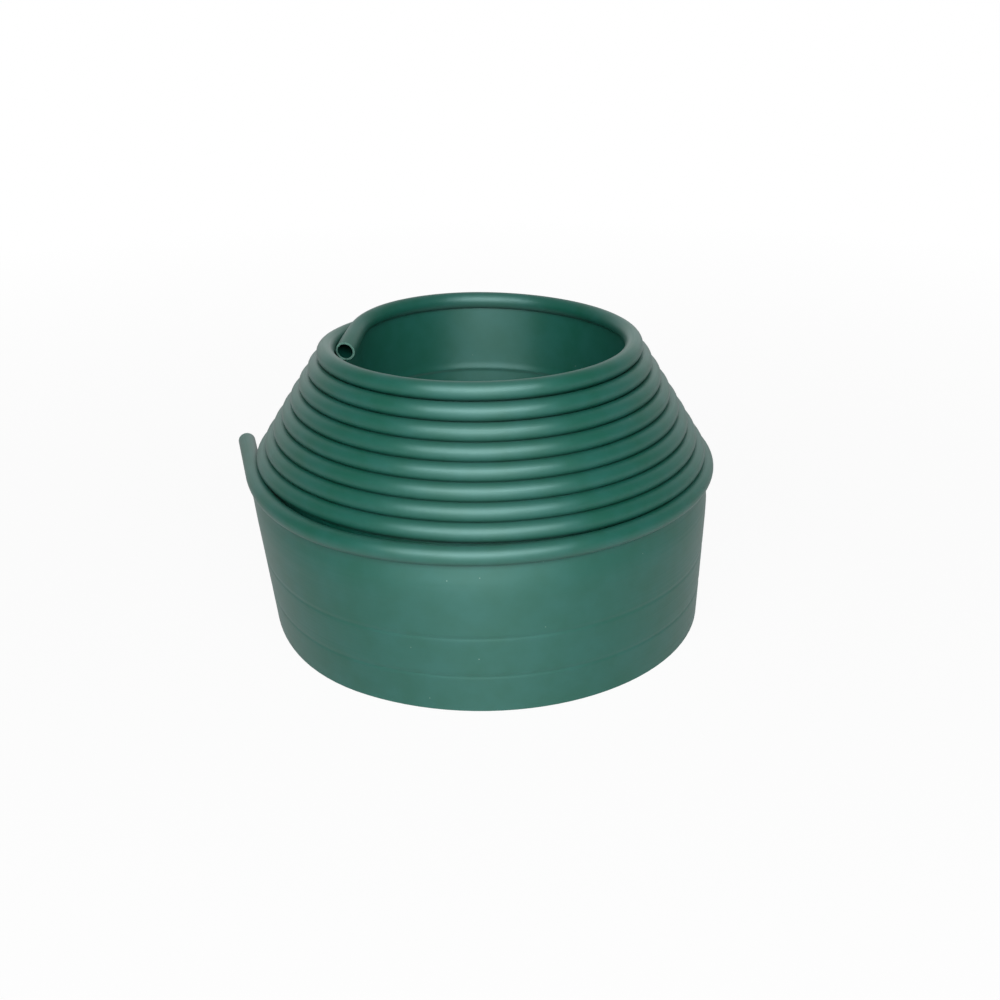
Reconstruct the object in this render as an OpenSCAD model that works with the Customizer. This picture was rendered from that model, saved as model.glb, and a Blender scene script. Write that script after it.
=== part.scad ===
// Roll of lawn edging: one extruded plastic strip with a hollow bead along its top edge and a thin
// flat blade below it, wound into a spiral. The bead of each turn sits on the bead of the turn outside
// it, so the beads climb a cone towards the middle. +Z is up, the floor is z = 0 and the winding turns
// about Z. The strip is one extrusion, and each node is one functional part of its section or ends.

/* [Strip] */
// Height of the strip, from its bottom edge to the top of the bead
strip_h = 150; // [125:1:200]
// Outer diameter of the hollow bead
bead_d = 14.8; // [10:0.1:20]
// Wall thickness of the hollow bead
bead_wall = 1.8; // [1.2:0.1:3.5]
// Thickness of the flat blade
blade_t = 1; // [0.8:0.1:2.5]
// Depth that the bottom edge is cut flat where it stands on the floor
foot_flat = 0.5; // [0.2:0.1:1]
// Hairline between two parts of the section
seam = 0.1; // [0.05:0.05:0.3]

/* [Anchor ribs] */
// Width of a rib where it meets the blade
rib_w = 6; // [3:0.5:10]
// Height of a rib above the blade's inner face
rib_h = 1.2; // [0.6:0.1:2.5]
// Distance of the upper rib below the bead's centre
upper_rib_drop = 70; // [40:0.5:85]
// Distance of the lower rib below the bead's centre
lower_rib_drop = 109; // [96:0.5:112]

/* [Winding] */
// Radius of the bead's centre line at the start of the innermost turn
eye_r = 128.2; // [100:0.2:200]
// Turns in the winding, up to where the outer end runs straight
turns = 8.955; // [5:0.005:11]
// Clear gap between the beads of two turns
bead_gap = 0.8; // [0.8:0.1:3]
// Clear gap between a blade and the bead of the next turn out
blade_gap = 0.5; // [0.5:0.05:2]
// Rings of points in one turn
turn_rings = 22; // [20:1:24]

/* [Stance] */
// Part of a turn, at the outer end, that stands flat on the floor
level_turns = 0.605; // [0.5:0.005:0.7]
// Part of a turn over which the strip comes down to the floor
sink_turns = 0.35; // [0.25:0.05:0.6]
// How far back from the outer end the climb of the turns is counted from, in turns
climb_back = 0.345; // [0.3:0.005:0.4]
// Slant of the piled turns, in degrees
stack_slant = 0.73; // [0:0.01:1]
// Side on which the slanted turns are highest, in degrees from +X
slant_side = 225; // [200:5:250]

/* [Outer end] */
// Part of a turn, at the outer end, over which the turn works loose
loose_turns = 0.415; // [0.3:0.005:0.45]
// How far the loose turn would swell out if nothing drew it in again
swell_out = 11; // [0:0.5:14]
// Part of a turn over which the straight end draws the loose turn in again
draw_turns = 0.122; // [0.1:0.002:0.2]
// How far it draws the loose turn in
draw_in = 7.1; // [0:0.1:9]
// Length of the straight outer end
tail_len = 93; // [60:1:150]
// Part of a turn over which the blade's foot splays out before it leans in
splay_turns = 0.4; // [0.2:0.05:0.6]
// Most that the foot splays out, in degrees
foot_splay = 0.9; // [0:0.1:2]
// Part of a turn, at the outer end, over which the blade leans in under the bead
lean_turns = 0.425; // [0.35:0.005:0.5]
// How far the blade's foot swings in, in degrees
foot_lean = 4.5; // [0:0.1:6]

/* [Inner end] */
// Part of a turn over which the inner end slips off the pile
slip_turns = 0.244; // [0.2:0.002:0.3]
// Clear gap between the slipped end and the bead beside it
slip_gap = 1.5; // [1:0.1:4]
// Height angle of the cut end beside the next turn's bead, in degrees
tip_angle = -14; // [-30:1:10]
// Height angle of the bend where the slipped end starts to run straight, in degrees
bend_angle = 14.5; // [10:0.5:40]

/* [Bead ends] */
// Length of the round bore at each cut end of the bead
bore_len = 25; // [20:1:30]

/* [Hidden] */

plastic_green = [0.18, 0.44, 0.36];
round_sides = 64;
bead_sides = 6;
bead_r = bead_d / 2;
bore_r = bead_r - bead_wall;
bead_flat = bead_r * cos(180 / bead_sides);
bead_floor_z = strip_h - bead_r - foot_flat;
blade_drop = strip_h - bead_r;

// A turn steps out until its bead clears the blade inside it, then up until the two beads clear.
radial_step = bead_r + blade_t / 2 + blade_gap;
turn_pitch = bead_d + bead_gap;
climb_step = sqrt(turn_pitch * turn_pitch - radial_step * radial_step);
slip_pitch = bead_d + slip_gap;
// Part of a turn in which the foot swings in, and the one over which the full swell would build up.
lean_span = 0.33;
swell_span = 0.5;

function unit(v) = v / norm(v);
function smooth(t) = let (c = max(0, min(1, t))) c * c * (3 - 2 * c);

// The strip starts at -X and runs clockwise from above; u counts the turns from there.
function azimuth(u) = 180 - 360 * u;
function pile_r(u) = eye_r + radial_step * u;
function pile_z(u) = bead_floor_z + climb_step * (turns - climb_back - u)
    + tan(stack_slant) * pile_r(u) * cos(azimuth(u) - slant_side);
function wound_r(u) = pile_r(u) + swell_out * smooth((u - turns + loose_turns) / swell_span)
    - draw_in * smooth((u - turns + draw_turns) / draw_turns);
function wound_z(u) = let (down = smooth((u - turns + level_turns + sink_turns) / sink_turns))
    (1 - down) * pile_z(u) + down * bead_floor_z;
function wound(u) = [wound_r(u) * cos(azimuth(u)), wound_r(u) * sin(azimuth(u)), wound_z(u)];

// The inner end has slipped off the pile, down beside the bead of the next turn out.
function beside(u, angle) =
    let (r = pile_r(u + 1) - slip_pitch * cos(angle), z = pile_z(u + 1) + slip_pitch * sin(angle))
    [r * cos(azimuth(u)), r * sin(azimuth(u)), z];
bend_u = (bore_len + bead_d) / (2 * PI * (pile_r(1) - slip_pitch));
inner_tip = beside(0, tip_angle);
inner_bend = beside(bend_u, bend_angle);
inner_dir = unit(inner_bend - inner_tip);

// A curve from the bend up to the pile, tangent to both.
slip_end = wound(slip_turns);
slip_dir = unit(wound(slip_turns + 0.001) - wound(slip_turns - 0.001));
slip_span = norm(slip_end - inner_bend);
function slipped(t) = (2 * t^3 - 3 * t^2 + 1) * inner_bend + (t^3 - 2 * t^2 + t) * slip_span * inner_dir
    + (3 * t^2 - 2 * t^3) * slip_end + (t^3 - t^2) * slip_span * slip_dir;

outer_bend = wound(turns);
outer_dir = [sin(azimuth(turns)), -cos(azimuth(turns)), 0];
outer_tip = outer_bend + tail_len * outer_dir;

// Rings stand at the same azimuths in every turn, so the facets of the turns lie parallel.
near_ring = 0.4 / turn_rings;
ring_u = [for (i = [1 : floor(turns * turn_rings)]) let (u = i / turn_rings)
    if (u > bend_u + near_ring && u < turns - near_ring) u];
bent_path = concat([inner_bend],
    [for (u = ring_u) u < slip_turns ? slipped((u - bend_u) / (slip_turns - bend_u)) : wound(u)],
    [outer_bend]);
strip_path = concat([inner_tip], bent_path, [outer_tip]);
tube_path = concat([inner_tip + bore_len * inner_dir], bent_path, [outer_tip - bore_len * outer_dir]);

// Lean of the blade's foot towards the axis, in degrees, along the outer turn.
function lean_at(u) = foot_lean * smooth((u - turns + lean_turns) / lean_span)
    - foot_splay * smooth((u - turns + lean_turns + splay_turns) / splay_turns);
strip_lean = concat([0, 0], [for (u = ring_u) lean_at(u)], [lean_at(turns), lean_at(turns)]);

// Directions at point i of a path: along it, halving the bend there, then out of the roll and up.
// Up is square to the path at the two cut ends. Elsewhere it is plumb, and longer by the path's
// slope, so the blade keeps its height and each of its facets lies in one plane.
function path_dir(path, i) = let (last = len(path) - 1)
    unit((i > 0 ? unit(path[i] - path[i - 1]) : [0, 0, 0])
        + (i < last ? unit(path[i + 1] - path[i]) : [0, 0, 0]));
function out_dir(dir) = unit(cross([0, 0, 1], dir));
function up_dir(path, i) = let (dir = path_dir(path, i))
    i == 0 || i == len(path) - 1 ? cross(dir, out_dir(dir)) : [0, 0, 1 / norm([dir[0], dir[1]])];

// Points of a section, given as [out, up] pairs, carried to point i of the path.
function placed(path, i, section) = let (out = out_dir(path_dir(path, i)), up = up_dir(path, i))
    [for (p = section) path[i] + p[0] * out + p[1] * up];
// A point of the blade at a depth below the bead's centre and a distance out of the blade's middle.
function blade_point(depth, off, lean) = [off / cos(lean) - depth * tan(lean), -depth];
// The blade reaches down to its full depth, or to the floor where that is nearer.
function blade_section(i) = let (foot = min(blade_drop, strip_path[i][2] / up_dir(strip_path, i)[2]),
    top = bead_flat + seam, lean = strip_lean[i])
    [blade_point(top, -blade_t / 2, lean), blade_point(foot, -blade_t / 2, lean),
        blade_point(foot, blade_t / 2, lean), blade_point(top, blade_t / 2, lean)];
function rib_section(i, drop) = let (base = -blade_t / 2 - seam, lean = strip_lean[i])
    [blade_point(drop - rib_w / 2, base, lean), blade_point(drop, base - rib_h, lean),
        blade_point(drop + rib_w / 2, base, lean)];
function bead_section(r) = [for (j = [0 : bead_sides - 1])
    let (angle = 360 * j / bead_sides) [r * cos(angle), r * sin(angle)]];

// Triangles between rings of n points each, with point numbers starting at first. The side numbered
// turned is split along its other diagonal, which keeps the blade's two faces parallel.
function skin(rings, n, first, inward, turned) = [for (i = [0 : rings - 2], j = [0 : n - 1])
    let (a = first + i * n + j, b = first + i * n + (j + 1) % n, c = b + n, d = a + n)
    each inward ? [[a, c, b], [a, d, c]] : j == turned ? [[a, b, d], [b, c, d]] : [[a, b, c], [a, c, d]]];
function fan(n, first, flip) = [for (j = [1 : n - 2])
    flip ? [first, first + j + 1, first + j] : [first, first + j, first + j + 1]];
// An annular cap between two rings of n points, the outer one at first and the inner one at hole.
function washer(n, first, hole, flip) = [for (j = [0 : n - 1])
    let (a = first + j, b = first + (j + 1) % n, c = hole + (j + 1) % n, d = hole + j)
    each flip ? [[a, c, b], [a, d, c]] : [[a, b, c], [a, c, d]]];

module solid_sweep(rings) {
    n = len(rings[0]);
    last = (len(rings) - 1) * n;
    polyhedron(points = [for (r = rings) each r],
        faces = concat(skin(len(rings), n, 0, false, 0), fan(n, 0, true), fan(n, last, false)));
}

module tube_sweep(outer, inner) {
    n = len(outer[0]);
    rings = len(outer);
    hole = rings * n;
    polyhedron(points = concat([for (r = outer) each r], [for (r = inner) each r]),
        faces = concat(skin(rings, n, 0, false, -1), skin(rings, n, hole, true, -1),
            washer(n, 0, hole, true), washer(n, hole - n, 2 * hole - n, false)));
}

// A straight round tube from a point along a direction, flat below where the blade joins it.
module round_end(start, dir) {
    translate(start)
        rotate([0, acos(dir[2]), atan2(dir[1], dir[0])])
            difference() {
                cylinder(r = bead_r, h = bore_len, $fn = round_sides);
                translate([0, 0, -1])
                    cylinder(r = bore_r, h = bore_len + 2, $fn = round_sides);
                translate([bead_flat, -bead_r, -1])
                    cube([bead_r, bead_d, bore_len + 2]);
            }
}

module bead_tube() {
    color(plastic_green)
        tube_sweep([for (i = [0 : len(tube_path) - 1]) placed(tube_path, i, bead_section(bead_r))],
            [for (i = [0 : len(tube_path) - 1]) placed(tube_path, i, bead_section(bore_r))]);
}

module inner_bead_end() {
    color(plastic_green) round_end(inner_tip, inner_dir);
}

module outer_bead_end() {
    color(plastic_green) round_end(outer_tip - bore_len * outer_dir, outer_dir);
}

module blade() {
    color(plastic_green)
        solid_sweep([for (i = [0 : len(strip_path) - 1]) placed(strip_path, i, blade_section(i))]);
}

module anchor_rib(drop) {
    color(plastic_green)
        solid_sweep([for (i = [0 : len(strip_path) - 1]) placed(strip_path, i, rib_section(i, drop))]);
}

module upper_rib() {
    anchor_rib(upper_rib_drop);
}

module lower_rib() {
    anchor_rib(lower_rib_drop);
}

// Least gaps of the winding to itself. Bead to bead is measured between all ring centres and middles of
// facets at least half a turn apart; bead to blade from a bead to the blade of the turn inside it, at
// the middle of a facet.
half_turn = floor(turn_rings / 2);
facet_share = cos(180 / turn_rings);
function middles(path) = [for (i = [0 : len(path) - 2]) (path[i] + path[i + 1]) / 2];
function least_gap(path) = min([for (i = [0 : len(path) - 1 - half_turn], j = [i + half_turn : len(path) - 1])
    norm(path[i] - path[j])]) - bead_d;
blade_gaps = [for (u = ring_u) if (u + 1 < turns)
    (wound_r(u + 1) - wound_r(u)) * facet_share - bead_r - blade_t / 2];
echo(str("least gap between beads, mm: ", min(least_gap(tube_path), least_gap(middles(tube_path)))));
echo(str("least gap between a bead and the blade inside it, mm: ", min(blade_gaps)));
echo(str("rings: ", len(strip_path), ", inner tip ", inner_tip, " pointing ", -inner_dir,
    ", outer tip ", outer_tip, " pointing ", outer_dir));

bead_tube();
inner_bead_end();
outer_bead_end();
blade();
upper_rib();
lower_rib();
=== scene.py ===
import math

import bpy
import numpy as np
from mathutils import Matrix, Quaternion, Vector


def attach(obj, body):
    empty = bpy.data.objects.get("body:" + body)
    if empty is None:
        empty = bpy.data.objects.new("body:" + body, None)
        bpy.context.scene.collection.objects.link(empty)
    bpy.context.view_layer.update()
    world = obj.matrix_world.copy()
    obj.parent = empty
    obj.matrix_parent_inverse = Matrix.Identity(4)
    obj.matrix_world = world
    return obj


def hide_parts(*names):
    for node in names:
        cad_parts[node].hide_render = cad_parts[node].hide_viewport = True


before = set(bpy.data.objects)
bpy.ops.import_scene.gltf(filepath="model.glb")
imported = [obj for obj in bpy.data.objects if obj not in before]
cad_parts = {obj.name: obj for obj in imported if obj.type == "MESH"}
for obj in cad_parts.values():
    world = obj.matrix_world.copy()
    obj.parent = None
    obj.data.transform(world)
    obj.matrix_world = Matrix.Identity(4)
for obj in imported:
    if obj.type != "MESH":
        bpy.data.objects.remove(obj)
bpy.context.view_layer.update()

# ---- Hollow bead ------------------------------------------------------------------------------
# The round tube along the strip's top edge, extruded in one piece with the blade and wound into
# nine turns. The turns pile up bead on bead into a cone, the inner end has slipped down beside the
# first bead, and the outer end runs straight off the roll. Both ends are sawn off square.

# All lengths of the strip and of its winding are in millimetres, and all angles in degrees.
BEAD_D = 15.4
BORE_D = 11.6
PITCH = 15.6  # from bead to bead in the pile, centre to centre
EYE_R = 128.2  # bead centre at the start of the innermost turn
RADIAL_STEP = 8.4
CLIMB = math.sqrt(PITCH**2 - RADIAL_STEP**2)
SLANT, SLANT_SIDE = 0.73, 225.0
SAG_FRONT, FRONT_SIDE = 1.5, 285.0
SAG_BEHIND, BEHIND_SIDE = 2.4, 150.0
FLOOR_Z = 142.1  # bead centre where the blade's foot stands on the floor
TURNS = 8.955
CLIMB_BACK = 0.345  # turns before the outer end from which the climb is counted
LEVEL_TURNS, SINK_TURNS = 0.605, 0.35  # turns on the floor, and turns on the way down to it
LOOSE_TURNS, SWELL_TURNS, SWELL_OUT = 0.415, 0.5, 11.0
DRAW_TURNS, DRAW_IN = 0.122, 7.8
SLIP_TURNS = 0.244
BESIDE = 16.5  # slipped end to the next turn's bead, centre to centre
SLIP_STRAIGHT = 39.8
TIP_ANGLE, BEND_ANGLE = -14.0, 19.2  # height beside the next turn's bead
FLARE = 1.0  # how much wider the slipped end has sprung open, on the radius
TAIL = 93.0
RINGS_A_TURN, STRAIGHT_RINGS, CURVE_RINGS, TAIL_RINGS = 110, 11, 28, 16
BEAD_SIDES = 32


def ease(t):
    """0 below 0, 1 above 1, and 3t^2 - 2t^3 between."""
    t = np.clip(t, 0.0, 1.0)
    return t * t * (3.0 - 2.0 * t)


def heading(u):
    """Azimuth in radians: the strip starts at -X and runs clockwise from above, one turn per u."""
    return math.pi - 2.0 * math.pi * np.asarray(u, float)


def facing(u, azimuth, sharpness):
    """1 where the bead passes the azimuth in degrees, 0 on the far side of the roll: half of one
    plus the cosine of the angle between them, raised to a power."""
    return (0.5 + 0.5 * np.cos(heading(u) - math.radians(azimuth))) ** sharpness


def sag(u):
    """How far the pile has settled: most at the front of the third and fourth turn, easing off
    above and below them, and behind the slipped end, where it falls evenly from turn 1.3 down."""
    u = np.asarray(u, float)
    middle = ease(u / 2.5) * (1.0 - ease((u - 3.0) / 7.0)) * facing(u, FRONT_SIDE, 3.0)
    behind = facing(u, BEHIND_SIDE, 10.0) * np.clip(1.0 - (u - 1.3) / 6.0, 0.0, 1.0)
    return SAG_FRONT * middle + SAG_BEHIND * behind


def pile(u):
    """Radius and height of the bead in the pile: a fixed step out and down each turn, plus a slant
    that is highest at its own azimuth, less the sag."""
    r = EYE_R + RADIAL_STEP * np.asarray(u, float)
    slant = math.tan(math.radians(SLANT)) * r * np.cos(heading(u) - math.radians(SLANT_SIDE))
    return r, FLOOR_Z + CLIMB * (TURNS - CLIMB_BACK - u) + slant - sag(u)


def wound(u):
    """Bead centre after u turns: the pile, eased down to the floor before the level turns. The
    outer turn swells as it works loose, and the tail draws it in again."""
    r, z = pile(u)
    down = ease((u - TURNS + LEVEL_TURNS + SINK_TURNS) / SINK_TURNS)
    r = r + SWELL_OUT * ease((u - TURNS + LOOSE_TURNS) / SWELL_TURNS)
    r = r - DRAW_IN * ease((u - TURNS + DRAW_TURNS) / DRAW_TURNS)
    z = z + down * (FLOOR_Z - z)
    return np.stack([r * np.cos(heading(u)), r * np.sin(heading(u)), z], -1)


def beside(u, angle):
    """A point on the inner side of the next turn's bead, at a height angle in degrees."""
    r, z = pile(u + 1.0)
    r = r - BESIDE * math.cos(math.radians(angle))
    z = z + BESIDE * math.sin(math.radians(angle))
    return np.array([r * math.cos(heading(u)), r * math.sin(heading(u)), z])


def unit(v):
    """Each vector over its own length."""
    return v / np.linalg.norm(v, axis=-1, keepdims=True)


def strip_route():
    """Points of the bead's centre line and the turn count at each: a straight slipped end, a cubic
    Hermite curve that meets it and the pile at a tangent, the spiral, and a straight tail."""
    bend_u = SLIP_STRAIGHT / (2.0 * math.pi * (pile(1.0)[0] - BESIDE))
    tip, bend = beside(0.0, TIP_ANGLE), beside(bend_u, BEND_ANGLE)
    tip_dir = unit(bend - tip)
    join = wound(SLIP_TURNS)
    join_dir = unit(wound(SLIP_TURNS + 0.001) - wound(SLIP_TURNS - 0.001))
    span = np.linalg.norm(join - bend)
    t = np.linspace(0.0, 1.0, STRAIGHT_RINGS + 1)[:-1, None]
    straight, straight_u = tip + t * (bend - tip), t[:, 0] * bend_u
    t = np.linspace(0.0, 1.0, CURVE_RINGS + 1)[:-1, None]
    curve = (
        (2 * t**3 - 3 * t**2 + 1) * bend
        + (t**3 - 2 * t**2 + t) * span * tip_dir
        + (3 * t**2 - 2 * t**3) * join
        + (t**3 - t**2) * span * join_dir
    )
    curve_u = bend_u + t[:, 0] * (SLIP_TURNS - bend_u)
    spiral_u = np.linspace(SLIP_TURNS, TURNS, int((TURNS - SLIP_TURNS) * RINGS_A_TURN) + 1)
    last = heading(TURNS)
    tail_dir = np.array([math.sin(last), -math.cos(last), 0.0])
    t = np.linspace(0.0, 1.0, TAIL_RINGS + 1)[1:, None]
    tail, tail_u = wound(TURNS) + t * TAIL * tail_dir, np.full(TAIL_RINGS, TURNS)
    points = np.concatenate([straight, curve, wound(spiral_u), tail])
    return points, np.concatenate([straight_u, curve_u, spiral_u, tail_u])


route, route_turns = strip_route()
steps = np.linalg.norm(np.diff(route, axis=0), axis=1)
route_s = np.concatenate([[0.0], np.cumsum(steps)])  # length along the strip
along = unit(np.gradient(route, route_s, axis=0))
outward = unit(np.cross([0.0, 0.0, 1.0], along))
upward = np.cross(along, outward)


def carry(rows, section_out, section_up, stand=0.0):
    """Carries sections, as (rows, points) arrays, to rows of the route: the route's point, plus the
    out part along the horizontal normal, the up part along the normal above it, and stand along it."""
    return (
        route[rows][:, None, :]
        + section_out[..., None] * outward[rows][:, None, :]
        + section_up[..., None] * upward[rows][:, None, :]
        + stand * along[rows][:, None, :]
    )


def strip_mesh(name, points, length, girth, joined):
    """One closed mesh in metres from a grid of (rows, columns) points in millimetres. Columns go
    round the section, anticlockwise seen against the strip's run. The last row is joined to the
    first, or both end rows are capped across from column j to column -1-j. The UV map holds metres
    along the strip and round the section."""
    rows, cols = points.shape[:2]
    i, j = np.meshgrid(np.arange(rows if joined else rows - 1), np.arange(cols), indexing="ij")
    k, below = (j + 1) % cols, (i + 1) % rows
    corner_i, corner_j = np.stack([i, i, below, below], -1), np.stack([j, k, k, j], -1)
    girth_j = np.stack([j, j + 1, j + 1, j], -1)
    faces = (corner_i * cols + corner_j).reshape(-1, 4)
    uvs = np.stack([length[corner_i], girth[girth_j]], -1).reshape(-1, 2)
    if not joined:
        j = np.arange(cols // 2 - 1)
        cap = np.stack([j, j + 1, cols - 2 - j, cols - 1 - j], -1)
        faces = np.concatenate([faces, cap[:, ::-1], (rows - 1) * cols + cap])
        face_uvs = np.stack([np.zeros(cap.shape), girth[cap]], -1)
        uvs = np.concatenate([uvs, face_uvs[:, ::-1].reshape(-1, 2), face_uvs.reshape(-1, 2)])
    mesh = bpy.data.meshes.new(name)
    mesh.vertices.add(rows * cols)
    mesh.vertices.foreach_set("co", (points / 1000.0).ravel())
    mesh.loops.add(faces.size)
    mesh.loops.foreach_set("vertex_index", faces.ravel())
    mesh.polygons.add(len(faces))
    mesh.polygons.foreach_set("loop_start", np.arange(0, faces.size, 4))
    mesh.update(calc_edges=True)
    mesh.uv_layers.new(name="strip").data.foreach_set("uv", (uvs / 1000.0).ravel())
    mesh.validate()
    mesh.shade_smooth()
    mesh.set_sharp_from_angle(angle=math.radians(35.0))
    piece = bpy.data.objects.new(name, mesh)
    bpy.context.scene.collection.objects.link(piece)
    return piece


def bead_grid():
    """The bead's whole skin as one grid that closes both ways: out along the outer wall, over the
    sawn rim, back along the bore and over the other rim. The slipped end has sprung a little open,
    and its saw left a burr on the lower outer side: a bell curve round the rim, 1.3 mm long."""
    a = np.linspace(0.0, 2.0 * math.pi, BEAD_SIDES, endpoint=False)
    everywhere, first, last = np.arange(len(route)), [0], [len(route) - 1]
    sprung = FLARE * (1.0 - ease((route_s - 6.0) / 50.0))[:, None]
    radius, bore = BEAD_D / 2 + sprung, BORE_D / 2 + sprung
    # How far the saw broke each rim's edges, on the bore's side and outside, and a rim stands out.
    far_broken, near_broken, proud = (0.3, 0.3), (0.5, 0.4), 0.25
    burr = 1.3 * np.exp(-(((a - math.radians(300.0)) / 0.24) ** 2))[:, None]
    parts = []
    for rows, r, stand in (
        (everywhere, radius, 0.0),
        (last, radius[last] - far_broken[1], proud), (last, bore[last] + far_broken[0], proud),
        (everywhere[::-1], bore[::-1], 0.0),
        (first, bore[first] + near_broken[0], -proud),
        (first, radius[first] - near_broken[1], -proud - burr),
    ):
        parts.append(carry(rows, r * np.cos(a), r * np.sin(a), stand))
    # Over a rim the length runs on by the wall's 2 mm, and along the bore it runs back.
    over = np.array([0.4, 1.7])
    length = np.concatenate([route_s, route_s[-1] + over, route_s[::-1] + 2.0, over[::-1]])
    return np.concatenate(parts), length, np.linspace(0.0, math.pi * BEAD_D, len(a) + 1)


bead_points, bead_length, bead_girth = bead_grid()
bead = strip_mesh("hollow_bead", bead_points, bead_length, bead_girth, joined=True)
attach(bead, "root")
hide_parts("bead_tube", "inner_bead_end", "outer_bead_end")


def linear(code):
    """An sRGB hex code as linear RGBA, by the sRGB curve."""
    c = np.array([int(code[i : i + 2], 16) for i in (1, 3, 5)]) / 255.0
    c = np.where(c <= 0.04045, c / 12.92, ((c + 0.055) / 1.055) ** 2.4)
    return (*c.tolist(), 1.0)


def add_node(tree, kind, links=(), **settings):
    """Adds a node. Settings are its properties, or input values where the name is in_ and an index
    or a name; links are (source socket, input) pairs."""
    node = tree.nodes.new(kind)
    for key, value in settings.items():
        if key.startswith("in_"):
            name = key[3:].replace("_", " ")
            node.inputs[int(name) if name.isdigit() else name].default_value = value
        else:
            setattr(node, key, value)
    for source, target in links:
        tree.links.new(source, node.inputs[target])
    return node


def extruded_polyethylene(name, body, bloom):
    """Pigmented low-density polyethylene, drawn warm through a die: an even waxy skin, slight clouds
    in the colour, and draw lines along the strip, which smear each reflection across the strip. A
    few pale specks of dust stick to it."""
    material = bpy.data.materials.new(name)
    material.use_nodes = True
    tree = material.node_tree
    tree.nodes.clear()
    place = add_node(tree, "ShaderNodeUVMap", uv_map="strip")
    # Draw lines: about 0.8 mm apart across the section, and three to a metre along it.
    stretch = add_node(tree, "ShaderNodeMapping", [(place.outputs[0], "Vector")],
                       in_Scale=(3.0, 1000.0 / 0.8, 1.0))
    lines = add_node(tree, "ShaderNodeTexNoise", [(stretch.outputs[0], "Vector")],
                     noise_dimensions="2D", in_Scale=1.0, in_Detail=2.0, in_Roughness=0.5)
    # Clouds: pigment and bloom that vary over some 25 mm.
    spot = add_node(tree, "ShaderNodeTexCoord")
    clouds = add_node(tree, "ShaderNodeTexNoise", [(spot.outputs["Object"], "Vector")],
                      in_Scale=1000.0 / 25.0, in_Detail=4.0, in_Roughness=0.6)
    mix = add_node(tree, "ShaderNodeMapRange", [(clouds.outputs["Fac"], "Value")],
                   in_From_Min=0.35, in_From_Max=0.65, in_To_Min=0.0, in_To_Max=1.0)
    colour = add_node(tree, "ShaderNodeMix", [(mix.outputs[0], "Factor")], data_type="RGBA")
    colour.inputs["A"].default_value = linear(body)
    colour.inputs["B"].default_value = linear(bloom)
    # Specks: points 25 mm apart in space, pale where the skin passes within 0.5 mm of one.
    points = add_node(tree, "ShaderNodeTexVoronoi", [(spot.outputs["Object"], "Vector")],
                      in_Scale=1000.0 / 25.0)
    speck = add_node(tree, "ShaderNodeMapRange", [(points.outputs["Distance"], "Value")],
                     in_From_Min=0.012, in_From_Max=0.024, in_To_Min=0.4, in_To_Max=0.0)
    dusted = add_node(tree, "ShaderNodeMix", [(speck.outputs[0], "Factor")], data_type="RGBA")
    tree.links.new(colour.outputs["Result"], dusted.inputs["A"])
    dusted.inputs["B"].default_value = linear("#b4c6bf")
    rough = add_node(tree, "ShaderNodeMapRange", [(lines.outputs["Fac"], "Value")],
                     in_From_Min=0.3, in_From_Max=0.7, in_To_Min=0.40, in_To_Max=0.46)
    bump = add_node(tree, "ShaderNodeBump", [(lines.outputs["Fac"], "Height")],
                    in_Strength=0.25, in_Distance=0.00006)
    run = add_node(tree, "ShaderNodeTangent", direction_type="UV_MAP", uv_map="strip")
    skin = add_node(tree, "ShaderNodeBsdfPrincipled",
                    [(dusted.outputs["Result"], "Base Color"), (rough.outputs[0], "Roughness"),
                     (bump.outputs[0], "Normal"), (run.outputs[0], "Tangent")],
                    in_IOR=1.51, in_Specular_IOR_Level=1.0, in_Specular_Tint=linear("#d4ffff"),
                    in_Anisotropic=0.75, in_Anisotropic_Rotation=0.25)
    add_node(tree, "ShaderNodeOutputMaterial", [(skin.outputs[0], "Surface")])
    return material


polyethylene = extruded_polyethylene("extruded green polyethylene", "#094a3a", "#145045")
bead.data.materials.append(polyethylene)


def sawn_polyethylene():
    """The same plastic where the saw went through it: torn and whitened, so it is matt and much
    paler than the skin, with a grain of 0.6 mm."""
    material = bpy.data.materials.new("sawn green polyethylene")
    material.use_nodes = True
    tree = material.node_tree
    tree.nodes.clear()
    spot = add_node(tree, "ShaderNodeTexCoord")
    grain = add_node(tree, "ShaderNodeTexNoise", [(spot.outputs["Object"], "Vector")],
                     in_Scale=1000.0 / 0.625, in_Detail=2.0)
    torn = add_node(tree, "ShaderNodeMapRange", [(grain.outputs["Fac"], "Value")],
                    in_From_Min=0.35, in_From_Max=0.65)
    colour = add_node(tree, "ShaderNodeMix", [(torn.outputs[0], "Factor")], data_type="RGBA")
    colour.inputs["A"].default_value = linear("#2f5c50")
    colour.inputs["B"].default_value = linear("#648d81")
    skin = add_node(tree, "ShaderNodeBsdfPrincipled", [(colour.outputs["Result"], "Base Color")],
                    in_Roughness=0.75, in_IOR=1.51)
    add_node(tree, "ShaderNodeOutputMaterial", [(skin.outputs[0], "Surface")])
    return material


# The bore's skin is painted darker than the outer skin: painted shade for the inside of the tube, where
# little light reaches.
# The faces of a closed grid come row by row: outer wall, far rim, bore, near rim.
bead.data.materials.append(sawn_polyethylene())
bead.data.materials.append(extruded_polyethylene("green polyethylene, painted shade in the bore", "#07342b", "#0b3b32"))
rings = len(route)
skin_of = np.zeros(len(bead.data.polygons), dtype=np.int32)
skin_of[(rings - 1) * BEAD_SIDES :] = 1
skin_of[(rings + 2) * BEAD_SIDES : (2 * rings + 1) * BEAD_SIDES] = 2
bead.data.polygons.foreach_set("material_index", skin_of)

# ---- Blade ------------------------------------------------------------------------------------
# The thin flat sheet that hangs under the bead and goes into the ground, drawn from the same melt.
# Two crimps run along it, a ridge on the inner face and a groove on the outer one, which grip the
# soil. The outer turn's blade bellies out under the bead and leans in at the end of the strip.

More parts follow.
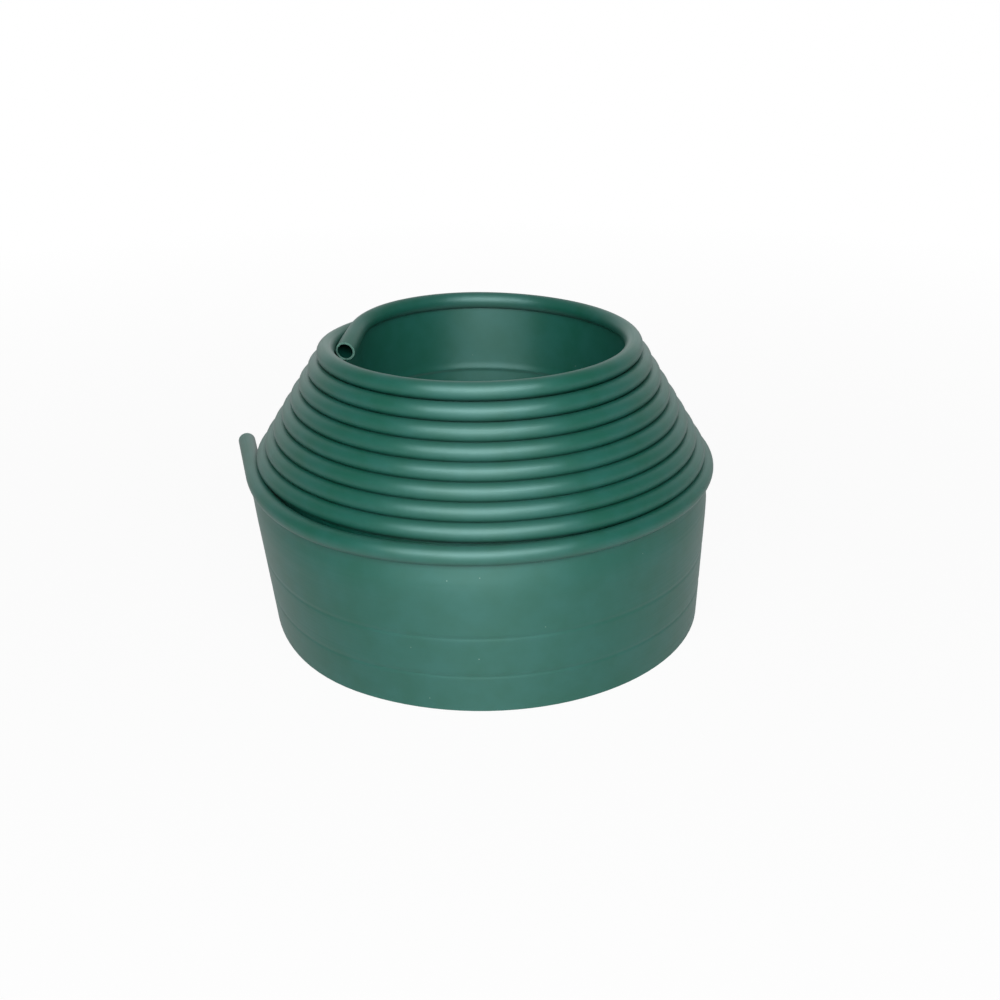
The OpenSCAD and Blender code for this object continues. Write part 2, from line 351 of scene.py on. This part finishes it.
BLADE_T = 1.0
BLADE_DROP = 142.6  # from the bead's centre to the foot
RIDGE_DROPS, RIDGE_H = (69.6, 109.0), 1.2
GROOVE_DROPS, GROOVE_DEPTH = (73.0, 109.0), 0.4
FOOT_LEAN, LEAN_TURNS, LEAN_SPAN = 4.5, 0.425, 0.33
FOOT_SPLAY, SPLAY_TURNS = 0.9, 0.4
BELLY_FROM, BELLY_OVER = 5.0, 30.0  # depths over which the belly rises
BELLY_FRONT, BELLY_END = 3.6, 1.4  # its height from turn 8.1 on, and what turn 8.55 adds to it
WAVE = 0.2
FOOT_FORWARD, FOOT_SHIFT, FOOT_NARROWED = 2.3, 0.4, 0.004


def crimp(depth, drops, above, below):
    """A crest of height 1 at each drop, which falls off as a bell curve of its own width above the
    crest and below it."""
    total = np.zeros_like(depth)
    for drop in drops:
        d = depth - drop
        total += np.exp(-((d / np.where(d < 0.0, above, below)) ** 2))
    return total


def lean(turns):
    """Lean of the foot towards the axis, in radians: it first splays out a little and then swings in
    towards the outer end."""
    u = turns - TURNS
    swung = FOOT_LEAN * ease((u + LEAN_TURNS) / LEAN_SPAN)
    return np.radians(swung - FOOT_SPLAY * ease((u + LEAN_TURNS + SPLAY_TURNS) / SPLAY_TURNS))


def belly(turns, depth):
    """How far the outer turn's free sheet stands out of the straight line from bead to foot, up to
    5 mm: it rises over the first 30 mm under the bead and falls evenly to nothing at the foot."""
    most = BELLY_FRONT * ease((turns - 8.1) / 0.35) + BELLY_END * ease((turns - 8.55) / 0.35)
    return most * ease((depth - BELLY_FROM) / BELLY_OVER) * (1.0 - depth / BLADE_DROP)


def blade_grid():
    """The sheet's skin, down the inner face, round the foot and up the outer face. Each point is at
    a depth below the bead's centre and half the thickness to one side of the middle, pushed in by
    the crimps and out by the belly, and the whole section is turned by the lean. The foot stops at
    the floor."""
    fine = np.array([-7.5, -5.0, -3.4, -2.0, -1.0, 0.0, 0.8, 1.6, 2.6, 4.5])
    down = np.concatenate([
        [BEAD_D / 2 - 0.8, 8.2, 10.0, 12.5, 15.5, 19.0, 23.0, 30.0, 41.0, 53.0],
        RIDGE_DROPS[0] + fine[:7], GROOVE_DROPS[0] + fine[4:], [85.0, 93.0],
        RIDGE_DROPS[1] + fine, [121.0, 130.0, 137.0, 141.0],
    ])
    foot = np.minimum(BLADE_DROP, route[:, 2] / upward[:, 2])[:, None]
    t = lean(route_turns)[:, None]
    depth = down[None, :] * (foot / BLADE_DROP)
    inner = -BLADE_T / 2 - RIDGE_H * crimp(down, RIDGE_DROPS, 4.2, 1.3)[None, :]
    outer = BLADE_T / 2 - GROOVE_DEPTH * crimp(down, GROOVE_DROPS, 2.0, 1.2)[None, :]
    edge = BLADE_T / 4  # the foot's edges are rounded by this much
    foot_depth = np.concatenate([foot - edge, foot, foot, foot - edge], axis=1)
    foot_side = np.array([[-BLADE_T / 2, -BLADE_T / 2 + edge, BLADE_T / 2 - edge, BLADE_T / 2]])
    depths = np.concatenate([depth, foot_depth, depth[:, ::-1]], axis=1)
    rows = len(route)
    sides = np.concatenate([
        np.broadcast_to(inner, (rows, len(down))), np.broadcast_to(foot_side, (rows, 4)),
        np.broadcast_to(outer[:, ::-1], (rows, len(down)))], axis=1)
    # The free sheet is never quite true: slow waves that grow to 0.3 mm at the foot.
    wave = np.sin(route_s / 61.0) + 0.6 * np.sin(route_s / 37.0 + 1.3)
    sides = sides + WAVE * wave[:, None] * (depths / BLADE_DROP) ** 2
    sides = sides + belly(route_turns[:, None], depths)
    points = carry(np.arange(rows), sides / np.cos(t) - depths * np.tan(t), -depths)
    # The outer turn's foot stands a little off centre, towards the front and to -X, and is drawn in
    # at both sides by 0.4 % of its width.
    off = ease((route_turns[:, None] - 8.2) / 0.3) * (depths / BLADE_DROP) ** 1.5
    points[..., 1] -= FOOT_FORWARD * off
    points[..., 0] -= off * (FOOT_SHIFT + FOOT_NARROWED * points[..., 0])
    # Round the section the girth runs down one face, over the foot and up the other.
    round_foot = BLADE_DROP + np.array([0.0, 0.4, 0.8, 1.2])
    girth = np.concatenate([down, round_foot, 2 * BLADE_DROP + 1.2 - down[::-1], [2 * BLADE_DROP - 5.0]])
    return points, route_s, girth


blade_points, blade_length, blade_girth = blade_grid()
blade = strip_mesh("blade_sheet", blade_points, blade_length, blade_girth, joined=False)
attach(blade, "root")
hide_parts("blade", "upper_rib", "lower_rib")
blade.data.materials.append(polyethylene)

# ---- Studio -----------------------------------------------------------------------------------
# A plain pale floor, a white surround, two soft lamps at the camera and a lit white wall behind.

floor_mesh = bpy.data.meshes.new("studio_floor")
floor_mesh.from_pydata([(-60, -60, 0), (60, -60, 0), (60, 60, 0), (-60, 60, 0)], [], [(0, 1, 2, 3)])
floor = bpy.data.objects.new("studio_floor", floor_mesh)
floor.location = (0.0, 0.0, -0.0005)
bpy.context.scene.collection.objects.link(floor)

# White paper: it glows white for the camera and in reflections, wholly so from 2 m out, and
# nearer the roll it keeps a share of the lamp's light and of the roll's shadow.
paper = bpy.data.materials.new("white paper")
paper.use_nodes = True
tree = paper.node_tree
tree.nodes.clear()
rays = add_node(tree, "ShaderNodeLightPath")
mirrored = add_node(tree, "ShaderNodeMath",
                    [(rays.outputs["Is Glossy Ray"], 0), (rays.outputs["Is Transmission Ray"], 1)],
                    operation="ADD")
seen = add_node(tree, "ShaderNodeMath", [(mirrored.outputs[0], 0), (rays.outputs["Is Camera Ray"], 2)],
                operation="MULTIPLY_ADD", in_1=0.4)
spot = add_node(tree, "ShaderNodeTexCoord")
reach = add_node(tree, "ShaderNodeVectorMath", [(spot.outputs["Object"], 0)], operation="LENGTH")
glowing = add_node(tree, "ShaderNodeMapRange", [(reach.outputs["Value"], "Value")],
                   in_From_Min=0.4, in_From_Max=2.0, in_To_Min=0.94, in_To_Max=1.0)
share = add_node(tree, "ShaderNodeMath", [(seen.outputs[0], 0), (glowing.outputs[0], 1)],
                 operation="MULTIPLY")
matt = add_node(tree, "ShaderNodeBsdfDiffuse", in_Color=linear("#c8c8c8"))
glow = add_node(tree, "ShaderNodeEmission", in_Color=linear("#ffffff"), in_Strength=1.0)
both = add_node(tree, "ShaderNodeMixShader",
                [(share.outputs[0], 0), (matt.outputs[0], 1), (glow.outputs[0], 2)])
add_node(tree, "ShaderNodeOutputMaterial", [(both.outputs[0], "Surface")])
floor_mesh.materials.append(paper)

# The surround is white for the camera. In reflections it is white behind the roll and grey on the
# side of the lamps, as a dark studio is. It lights the roll only weakly.
world = bpy.data.worlds.new("studio surround")
bpy.context.scene.world = world
world.use_nodes = True
tree = world.node_tree
tree.nodes.clear()
rays = add_node(tree, "ShaderNodeLightPath")
look = add_node(tree, "ShaderNodeTexCoord")
way = add_node(tree, "ShaderNodeSeparateXYZ", [(look.outputs["Generated"], 0)])
wall = add_node(tree, "ShaderNodeMapRange", [(way.outputs["Y"], "Value")],
                in_From_Min=0.3, in_From_Max=1.0, in_To_Min=0.22, in_To_Max=1.0)
mirrored = add_node(tree, "ShaderNodeMath",
                    [(rays.outputs["Is Glossy Ray"], 0), (rays.outputs["Is Transmission Ray"], 1)],
                    operation="ADD")
seen = add_node(tree, "ShaderNodeMath",
                [(mirrored.outputs[0], 0), (wall.outputs[0], 1), (rays.outputs["Is Camera Ray"], 2)],
                operation="MULTIPLY_ADD")
level = add_node(tree, "ShaderNodeMath", [(seen.outputs[0], 0)], operation="MAXIMUM", in_1=0.01)
surround = add_node(tree, "ShaderNodeBackground", [(level.outputs[0], "Strength")],
                    in_Color=linear("#ffffff"))
add_node(tree, "ShaderNodeOutputWorld", [(surround.outputs[0], "Surface")])


def soft_lamp(name, height_angle, width, height, power):
    """A rectangular lamp 1.6 m from the roll's middle and turned so that its -Z points at it. The
    height angle in degrees is counted from the front over the top."""
    lamp = bpy.data.objects.new(name, bpy.data.lights.new(name, "AREA"))
    lamp.data.shape = "RECTANGLE"
    lamp.data.size, lamp.data.size_y = width, height
    lamp.data.energy = power
    middle, angle = Vector((0.0, 0.0, 0.15)), math.radians(height_angle)
    lamp.location = middle + 1.6 * Vector((0.0, -math.cos(angle), math.sin(angle)))
    lamp.rotation_euler = (middle - lamp.location).to_track_quat("-Z", "Y").to_euler()
    lamp.visible_camera = False
    bpy.context.scene.collection.objects.link(lamp)
    return lamp


soft_lamp("softbox_over_camera", 35.0, 2.1, 0.8, 38.5)
soft_lamp("softbox_under_camera", 12.0, 0.8, 0.6, 4.0)
# The surround already mirrors as the white wall, so the wall's lamp isn't mirrored as well.
soft_lamp("lit_wall_behind", 150.0, 3.2, 1.5, 9.0).visible_glossy = False

# The camera stands about 1 m off and looks down by 24.6 degrees, held 0.3 degrees off the level.
DOWN, ROLL = 0.4288, -0.006  # in radians
camera = bpy.data.objects.new("camera", bpy.data.cameras.new("camera"))
camera.data.sensor_width = 36.0
camera.data.lens = 36.0 * 1.0773
camera.location = (0.01492, -0.9171, 0.5127)
camera.rotation_mode = "QUATERNION"
camera.rotation_quaternion = Quaternion((1, 0, 0), math.pi / 2 - DOWN) @ Quaternion((0, 0, 1), ROLL)
bpy.context.scene.collection.objects.link(camera)
bpy.context.scene.camera = camera
bpy.context.scene.view_settings.view_transform = "Standard"
